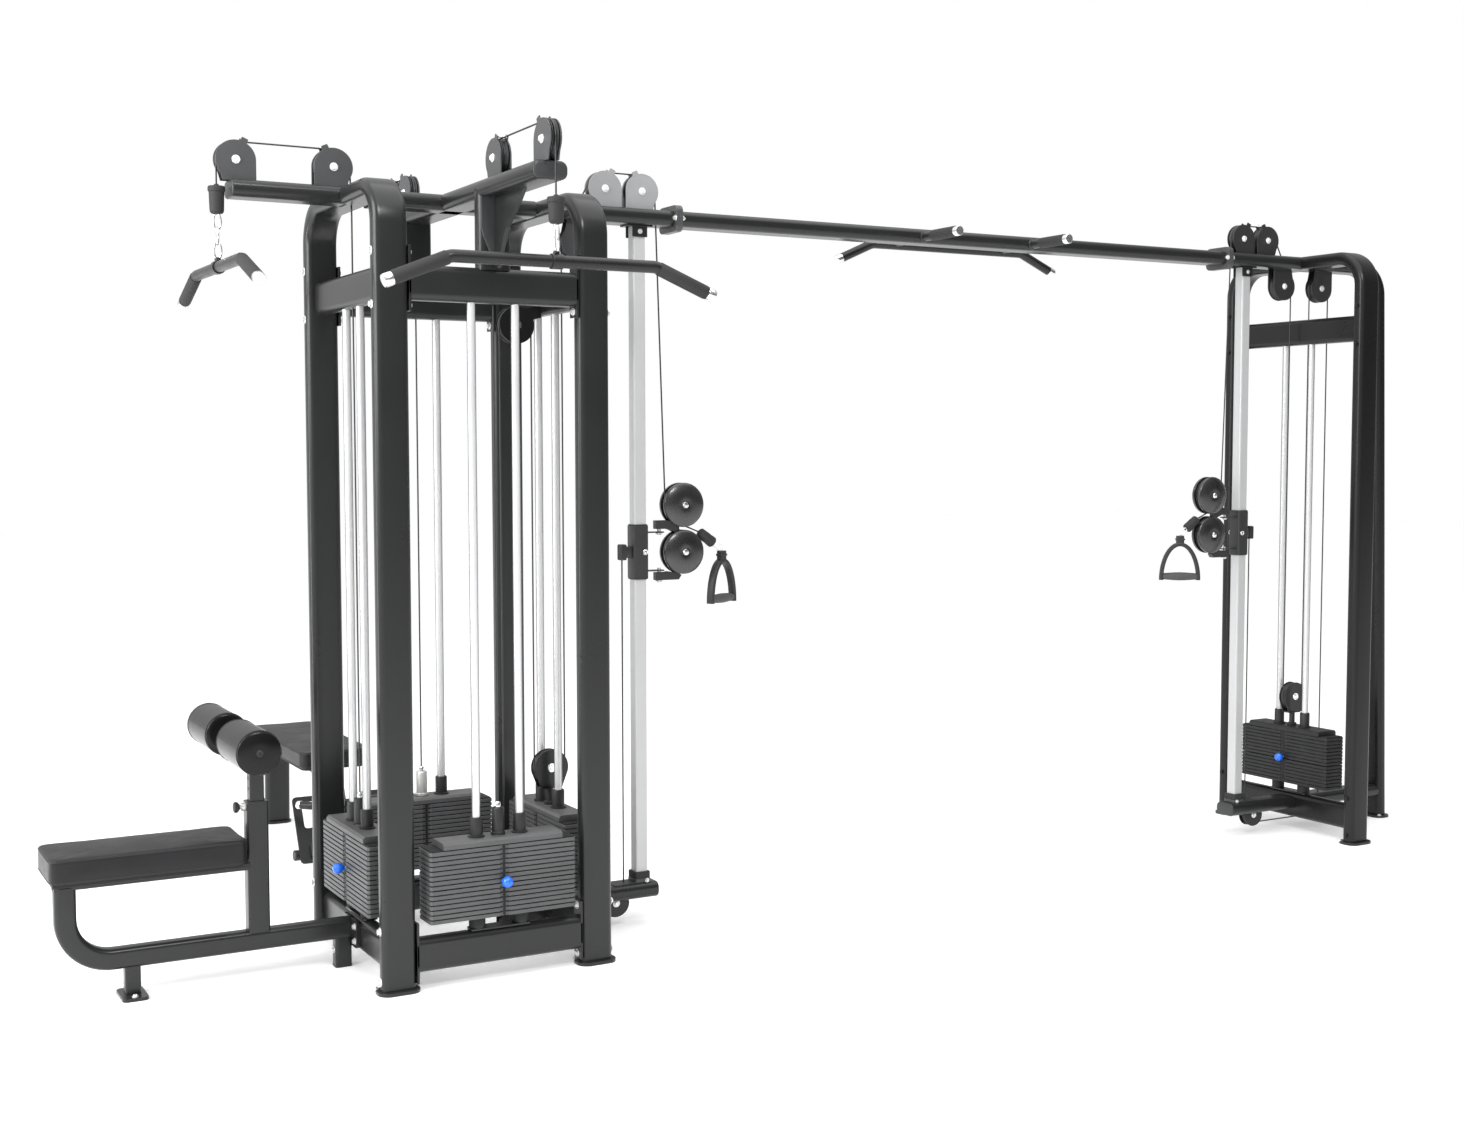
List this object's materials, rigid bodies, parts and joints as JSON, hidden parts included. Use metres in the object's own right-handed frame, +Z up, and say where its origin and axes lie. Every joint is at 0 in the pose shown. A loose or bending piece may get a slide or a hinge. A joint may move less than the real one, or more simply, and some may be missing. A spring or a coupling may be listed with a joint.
{
  "type": "multi-station cable trainer",
  "caption": "Cable training machine: core tower with lat, row and column stations, overhead crossover beam with pull-up bar, and a three-legged outer tower.",
  "frame": {"origin": "on the floor, centre of the core tower's front left foot plate", "axes": "+X along the crossover beam from the core tower to the outer tower, +Y from the wide lat bar side to the row bench side, +Z up"},
  "size_m": [5.305, 2.993, 2.4214],
  "materials": {
    "frame": "satin textured powder coat, anthracite",
    "column": "polished",
    "rod": "polished hard chrome",
    "stack": "ground faces, grey paint",
    "wheel": "moulded nylon",
    "knob_blue": "moulded, blue",
    "knob_black": "moulded, black",
    "carriage": "satin black powder coat",
    "cover": "moulded, slight gloss",
    "handle": "moulded, fine texture",
    "bar_black": "black coat, chrome end caps",
    "vinyl": "black upholstery vinyl with grain"
  },
  "bodies": {
    "frame": {"side_frame_left": "frame", "side_frame_right": "frame", "head_frame": "frame", "lower_beam_front": "frame", "rear_base_frame": "frame", "crossover_beam": "frame", "pullup_bar": "bar_black", "side_frame_far": "frame", "third_leg": "frame", "column_right": "column", "column_far": "column", "stack_front_rest": "stack", "guide_rods_front": "rod", "stack_left_rest": "stack", "guide_rods_left": "rod", "guide_rods_rear": "rod", "guide_rods_right": "rod", "stack_far_rest": "stack", "guide_rods_far": "rod", "seat_frame": "frame", "seat_pad": "vinyl", "row_bench_pad": "vinyl"},
    "stack_front": {"stack_front_lift": "stack"},
    "pin_front": {"stack_pin_front": "knob_blue"},
    "stack_left": {"stack_left_lift": "stack"},
    "pin_left": {"stack_pin_left": "knob_blue"},
    "stack_rear": {"stack_rear_lift": "stack"},
    "pin_rear": {"stack_pin_rear": "knob_blue"},
    "stack_right": {"stack_right_lift": "stack"},
    "pin_right": {"stack_pin_right": "knob_blue"},
    "stack_far": {"stack_far_lift": "stack"},
    "pin_far": {"stack_pin_far": "knob_blue"},
    "bar_front": {"lat_bar_front": "bar_black"},
    "bar_left": {"lat_bar_left": "bar_black"},
    "bar_row": {"row_handle": "bar_black"},
    "wheel_front_outer": {"pulley_front_outer": "wheel"},
    "wheel_front_inner": {"pulley_front_inner": "wheel"},
    "wheel_rear_outer": {"pulley_rear_outer": "wheel"},
    "wheel_left_outer": {"pulley_left_outer": "wheel"},
    "wheel_left_inner": {"pulley_left_inner": "wheel"},
    "wheel_right_outer": {"pulley_right_outer": "wheel"},
    "wheel_right_inner": {"pulley_right_inner": "wheel"},
    "wheel_far_outer": {"pulley_far_outer": "wheel"},
    "wheel_far_inner": {"pulley_far_inner": "wheel"},
    "carriage_right": {"carriage_right": "carriage"},
    "height_knob_right": {"carriage_pin_right": "knob_black"},
    "swivel_right": {"swivel_right": "cover"},
    "carriage_wheel_upper_right": {"carriage_wheel_upper_right": "wheel"},
    "carriage_wheel_lower_right": {"carriage_wheel_lower_right": "wheel"},
    "handle_right": {"handle_right": "handle"},
    "carriage_far": {"carriage_far": "carriage"},
    "height_knob_far": {"carriage_pin_far": "knob_black"},
    "swivel_far": {"swivel_far": "cover"},
    "carriage_wheel_upper_far": {"carriage_wheel_upper_far": "wheel"},
    "carriage_wheel_lower_far": {"carriage_wheel_lower_far": "wheel"},
    "handle_far": {"handle_far": "handle"},
    "knee_post": {"knee_post": "frame"},
    "knee_knob": {"knee_post_pin": "knob_black"},
    "roller_near": {"knee_roller_near": "vinyl"},
    "roller_far": {"knee_roller_far": "vinyl"}
  },
  "joints": [
    {"name": "lift_front", "type": "slide", "parent": "frame", "child": "stack_front", "axis": [0, 0, 1], "range_m": [0, 1.2]},
    {"name": "select_front", "type": "slide", "parent": "stack_front", "child": "pin_front", "axis": [0, -1, 0], "range_m": [0, 0.08]},
    {"name": "lift_left", "type": "slide", "parent": "frame", "child": "stack_left", "axis": [0, 0, 1], "range_m": [0, 1.1]},
    {"name": "select_left", "type": "slide", "parent": "stack_left", "child": "pin_left", "axis": [-1, 0, 0], "range_m": [0, 0.08]},
    {"name": "lift_rear", "type": "slide", "parent": "frame", "child": "stack_rear", "axis": [0, 0, 1], "range_m": [0, 0.75]},
    {"name": "select_rear", "type": "slide", "parent": "stack_rear", "child": "pin_rear", "axis": [0, 1, 0], "range_m": [0, 0.08]},
    {"name": "lift_right", "type": "slide", "parent": "frame", "child": "stack_right", "axis": [0, 0, 1], "range_m": [0, 0.6]},
    {"name": "select_right", "type": "slide", "parent": "stack_right", "child": "pin_right", "axis": [1, 0, 0], "range_m": [0, 0.08]},
    {"name": "lift_far", "type": "slide", "parent": "frame", "child": "stack_far", "axis": [0, 0, 1], "range_m": [0, 0.6]},
    {"name": "select_far", "type": "slide", "parent": "stack_far", "child": "pin_far", "axis": [-1, 0, 0], "range_m": [0, 0.08]},
    {"name": "pull_front", "type": "slide", "parent": "frame", "child": "bar_front", "axis": [0, 0, -1], "range_m": [0, 1.2]},
    {"name": "pull_left", "type": "slide", "parent": "frame", "child": "bar_left", "axis": [0, 0, -1], "range_m": [0, 1.1]},
    {"name": "pull_row", "type": "slide", "parent": "frame", "child": "bar_row", "axis": [0, 0.7071, 0.7071], "range_m": [0, 0.75]},
    {"name": "spin_front_outer", "type": "hinge", "parent": "frame", "child": "wheel_front_outer", "pos_m": [0.307, -0.402, 2.357], "axis": [1, 0, 0], "range_deg": [0, 1340]},
    {"name": "spin_front_inner", "type": "hinge", "parent": "frame", "child": "wheel_front_inner", "pos_m": [0.307, -0.052, 2.357], "axis": [1, 0, 0], "range_deg": [0, 1340]},
    {"name": "spin_rear_outer", "type": "hinge", "parent": "frame", "child": "wheel_rear_outer", "pos_m": [0.307, 0.863, 2.357], "axis": [1, 0, 0], "range_deg": [-840, 0]},
    {"name": "spin_left_outer", "type": "hinge", "parent": "frame", "child": "wheel_left_outer", "pos_m": [-0.337, 0.333, 2.357], "axis": [0, 1, 0], "range_deg": [-1230, 0]},
    {"name": "spin_left_inner", "type": "hinge", "parent": "frame", "child": "wheel_left_inner", "pos_m": [-0.056, 0.333, 2.357], "axis": [0, 1, 0], "range_deg": [-1230, 0]},
    {"name": "spin_right_outer", "type": "hinge", "parent": "frame", "child": "wheel_right_outer", "pos_m": [0.94, 0.333, 2.357], "axis": [0, 1, 0], "range_deg": [0, 1340]},
    {"name": "spin_right_inner", "type": "hinge", "parent": "frame", "child": "wheel_right_inner", "pos_m": [0.811, 0.333, 2.357], "axis": [0, 1, 0], "range_deg": [0, 1340]},
    {"name": "spin_far_outer", "type": "hinge", "parent": "frame", "child": "wheel_far_outer", "pos_m": [3.553, 0.333, 2.357], "axis": [0, 1, 0], "range_deg": [-1340, 0]},
    {"name": "spin_far_inner", "type": "hinge", "parent": "frame", "child": "wheel_far_inner", "pos_m": [3.682, 0.333, 2.357], "axis": [0, 1, 0], "range_deg": [-1340, 0]},
    {"name": "height_right", "type": "slide", "parent": "frame", "child": "carriage_right", "axis": [0, 0, 1], "range_m": [-0.9, 0.75]},
    {"name": "pop_right", "type": "slide", "parent": "carriage_right", "child": "height_knob_right", "axis": [-1, 0, 0], "range_m": [0, 0.012]},
    {"name": "swing_right", "type": "hinge", "parent": "carriage_right", "child": "swivel_right", "pos_m": [1.003, 0.333, 1.21], "axis": [0, 0, 1], "range_deg": [-75, 75]},
    {"name": "turn_upper_right", "type": "hinge", "parent": "swivel_right", "child": "carriage_wheel_upper_right", "pos_m": [1.086, 0.333, 1.359], "axis": [0, 1, 0], "range_deg": [-1160, 0]},
    {"name": "turn_lower_right", "type": "hinge", "parent": "swivel_right", "child": "carriage_wheel_lower_right", "pos_m": [1.086, 0.333, 1.206], "axis": [0, 1, 0], "continuous": true},
    {"name": "pull_right", "type": "slide", "parent": "swivel_right", "child": "handle_right", "axis": [1, 0, 0], "range_m": [0, 1.2]},
    {"name": "height_far", "type": "slide", "parent": "frame", "child": "carriage_far", "axis": [0, 0, 1], "range_m": [-0.9, 0.75]},
    {"name": "pop_far", "type": "slide", "parent": "carriage_far", "child": "height_knob_far", "axis": [1, 0, 0], "range_m": [0, 0.012]},
    {"name": "swing_far", "type": "hinge", "parent": "carriage_far", "child": "swivel_far", "pos_m": [3.49, 0.333, 1.21], "axis": [0, 0, 1], "range_deg": [-75, 75]},
    {"name": "turn_upper_far", "type": "hinge", "parent": "swivel_far", "child": "carriage_wheel_upper_far", "pos_m": [3.407, 0.333, 1.359], "axis": [0, 1, 0], "range_deg": [0, 1160]},
    {"name": "turn_lower_far", "type": "hinge", "parent": "swivel_far", "child": "carriage_wheel_lower_far", "pos_m": [3.407, 0.333, 1.206], "axis": [0, 1, 0], "continuous": true},
    {"name": "pull_far", "type": "slide", "parent": "swivel_far", "child": "handle_far", "axis": [-1, 0, 0], "range_m": [0, 1.2]},
    {"name": "knee_height", "type": "slide", "parent": "frame", "child": "knee_post", "axis": [0, 0, 1], "range_m": [-0.07, 0.12]},
    {"name": "pop_knee", "type": "slide", "parent": "frame", "child": "knee_knob", "axis": [-1, 0, 0], "range_m": [0, 0.012]},
    {"name": "roll_near", "type": "hinge", "parent": "knee_post", "child": "roller_near", "pos_m": [-0.373, 0.333, 0.712], "axis": [0, 1, 0], "continuous": true},
    {"name": "roll_far", "type": "hinge", "parent": "knee_post", "child": "roller_far", "pos_m": [-0.373, 0.333, 0.712], "axis": [0, 1, 0], "continuous": true}
  ],
  "couplings": [
    {"joint": "pull_front", "follows": "lift_front", "ratio": 1},
    {"joint": "pull_left", "follows": "lift_left", "ratio": 1},
    {"joint": "pull_row", "follows": "lift_rear", "ratio": 1},
    {"joint": "spin_front_outer", "follows": "lift_front", "rad_per_m": 19.231},
    {"joint": "spin_front_inner", "follows": "lift_front", "rad_per_m": 19.231},
    {"joint": "spin_rear_outer", "follows": "lift_rear", "rad_per_m": -19.231},
    {"joint": "spin_left_outer", "follows": "lift_left", "rad_per_m": -19.231},
    {"joint": "spin_left_inner", "follows": "lift_left", "rad_per_m": -19.231},
    {"joint": "spin_right_outer", "follows": "lift_right", "rad_per_m": 38.462},
    {"joint": "spin_right_inner", "follows": "lift_right", "rad_per_m": 38.462},
    {"joint": "spin_far_outer", "follows": "lift_far", "rad_per_m": -38.462},
    {"joint": "spin_far_inner", "follows": "lift_far", "rad_per_m": -38.462},
    {"joint": "turn_upper_right", "follows": "lift_right", "rad_per_m": -33.333},
    {"joint": "pull_right", "follows": "lift_right", "ratio": 2},
    {"joint": "turn_upper_far", "follows": "lift_far", "rad_per_m": 33.333},
    {"joint": "pull_far", "follows": "lift_far", "ratio": 2}
  ]
}
